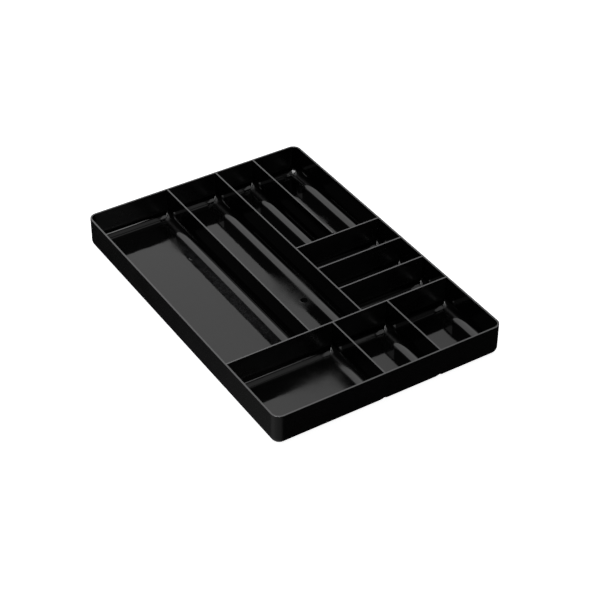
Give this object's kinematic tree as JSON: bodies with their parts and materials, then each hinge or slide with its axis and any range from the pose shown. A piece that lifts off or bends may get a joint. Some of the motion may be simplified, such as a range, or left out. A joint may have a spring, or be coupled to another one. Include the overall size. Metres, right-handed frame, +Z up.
{
  "type": "drawer organizer tray",
  "caption": "Shallow black plastic drawer tray with round corners, split by thin upright dividers into long, cross and square compartments with coved floors, for sorting tools and small parts.",
  "frame": {"origin": "middle of the tray's footprint, on the plane of its underside", "axes": "+X across the tray to the right, +Y along it from the row of three compartments to the back, +Z up out of the compartments"},
  "size_m": [0.2794, 0.4064, 0.0381],
  "materials": {
    "black_plastic": "half-gloss moulded black plastic with slightly blurred reflections"
  },
  "bodies": {
    "root": {"outer_wall": "black_plastic", "left_long_pan": "black_plastic", "middle_long_pan": "black_plastic", "back_inner_pan": "black_plastic", "back_outer_pan": "black_plastic", "cross_back_pan": "black_plastic", "cross_middle_pan": "black_plastic", "cross_front_pan": "black_plastic", "front_left_pan": "black_plastic", "front_middle_pan": "black_plastic", "front_right_pan": "black_plastic", "main_divider": "black_plastic", "left_long_divider": "black_plastic", "middle_long_divider": "black_plastic", "back_divider": "black_plastic", "cross_back_divider": "black_plastic", "cross_middle_divider": "black_plastic", "cross_front_divider": "black_plastic", "front_left_divider": "black_plastic", "front_right_divider": "black_plastic"}
  },
  "joints": []
}
